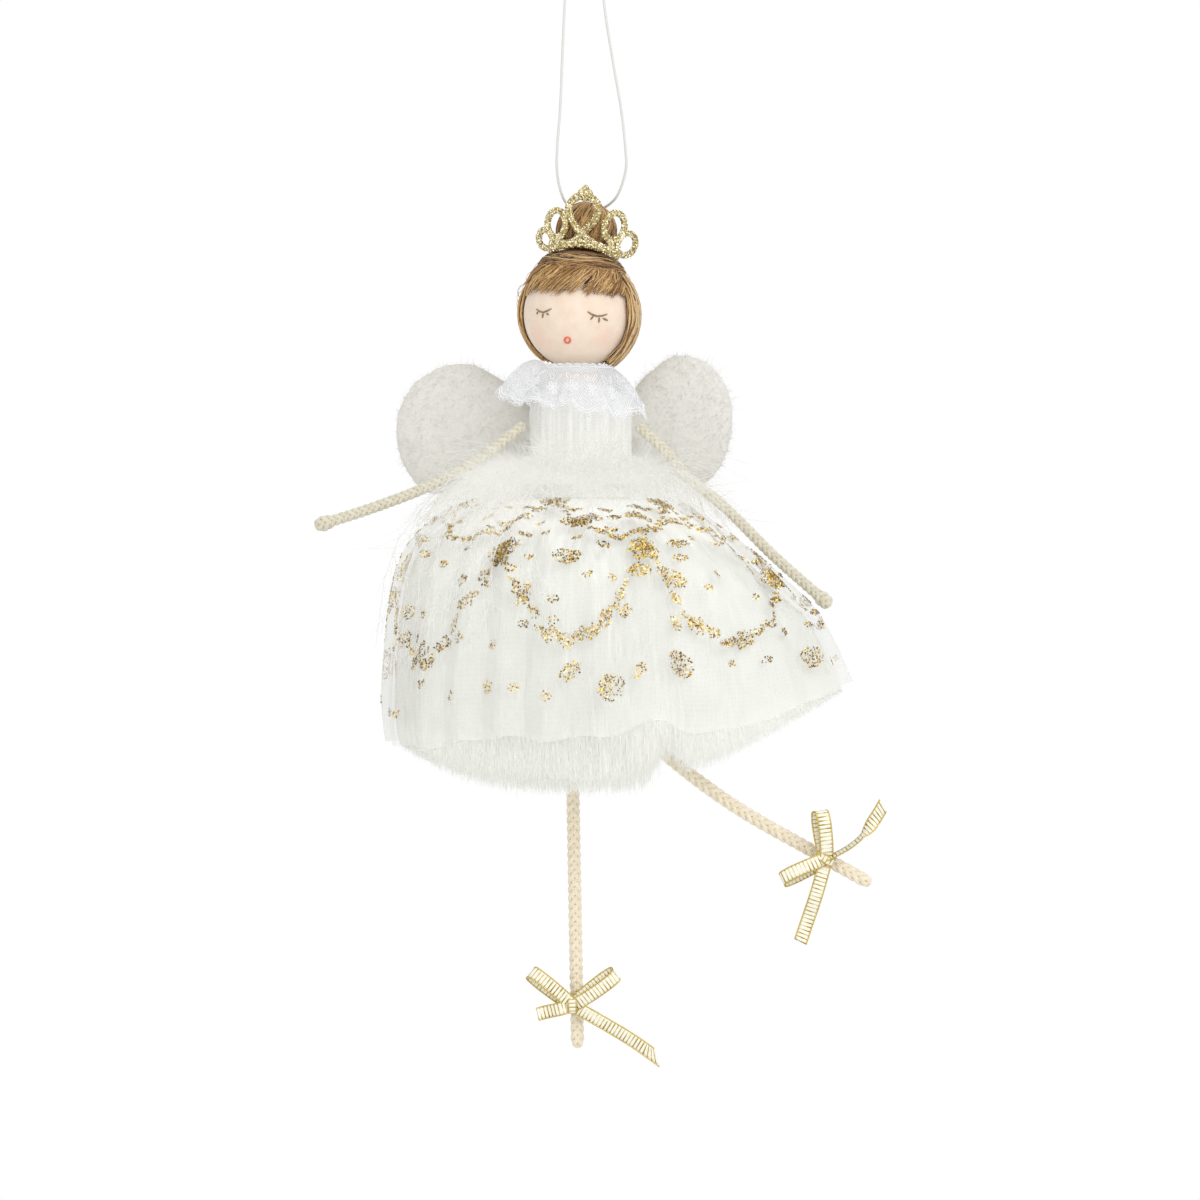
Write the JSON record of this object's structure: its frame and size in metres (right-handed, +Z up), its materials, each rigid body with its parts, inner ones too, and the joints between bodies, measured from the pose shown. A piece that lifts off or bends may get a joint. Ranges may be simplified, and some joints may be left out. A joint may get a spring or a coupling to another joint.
{
  "type": "hanging fabric angel ornament",
  "caption": "Hanging cloth angel doll with a wadding-ball head, openwork crown, padded wings, gathered tulle skirt over fur, and bendable cord limbs with ribbon bows.",
  "frame": {"origin": "inside of the crest of the hanging loop, where the hook that holds the ornament goes", "axes": "+Z up along the hanging thread, +X to the viewer's right, the doll faces -Y"},
  "size_m": [0.1303, 0.0776, 0.2841],
  "materials": {
    "thread": "twisted white thread",
    "gold_glitter": "gold glitter coating",
    "hair": "combed flax fibre",
    "wadding": "pressed cotton wadding",
    "face_knit": "fine peach knit",
    "lace": "white lace",
    "cotton": "thin woven cotton",
    "wing_felt": "brushed white felt",
    "arm_cord": "braided cotton cord",
    "leg_cord": "braided cotton cord",
    "wire": "drawn soft wire",
    "down": "white down trim",
    "tulle": "tulle with a gold glitter print",
    "fur": "long white pile",
    "ribbon": "woven metallic ribbon with gold edges"
  },
  "bodies": {
    "doll": {"hanging_thread": "thread", "thread_knot": "thread", "crown": "gold_glitter", "hair_bun": "hair", "hair_roll": "hair", "hair_wrap": "hair", "hair_fringe": "hair", "head_core": "wadding", "head_cover": "face_knit", "neck_binding": "thread", "lace_collar": "lace", "torso_core": "wadding", "bodice": "cotton", "left_wing": "wing_felt", "right_wing": "wing_felt", "wing_stitching": "thread", "waist_binding": "thread", "waist_fur": "down", "tulle_overskirt": "tulle", "fur_underskirt": "fur", "left_thigh_cord": "leg_cord", "left_thigh_wire": "wire", "right_thigh_cord": "leg_cord", "right_thigh_wire": "wire"},
    "left_arm": {"left_arm_cord": "arm_cord", "left_arm_wire": "wire"},
    "right_arm": {"right_arm_cord": "arm_cord", "right_arm_wire": "wire"},
    "left_leg": {"left_leg_cord": "leg_cord", "left_leg_wire": "wire", "left_bow": "ribbon"},
    "right_leg": {"right_leg_cord": "leg_cord", "right_leg_wire": "wire", "right_bow": "ribbon"}
  },
  "joints": [
    {"name": "left_shoulder", "type": "hinge", "parent": "doll", "child": "left_arm", "pos_m": [-0.0148, 0, -0.13625], "axis": [0, 1, 0], "range_deg": [-12, 45]},
    {"name": "right_shoulder", "type": "hinge", "parent": "doll", "child": "right_arm", "pos_m": [0.013, 0, -0.13665], "axis": [0, -1, 0], "range_deg": [0, 55]},
    {"name": "left_knee", "type": "hinge", "parent": "doll", "child": "left_leg", "pos_m": [-0.0032, 0, -0.1994], "axis": [0, 1, 0], "range_deg": [-2, 50]},
    {"name": "right_knee", "type": "hinge", "parent": "doll", "child": "right_leg", "pos_m": [0.0028, 0, -0.1994], "axis": [-0.3039, -0.9527, 0], "range_deg": [-38, 4]}
  ]
}
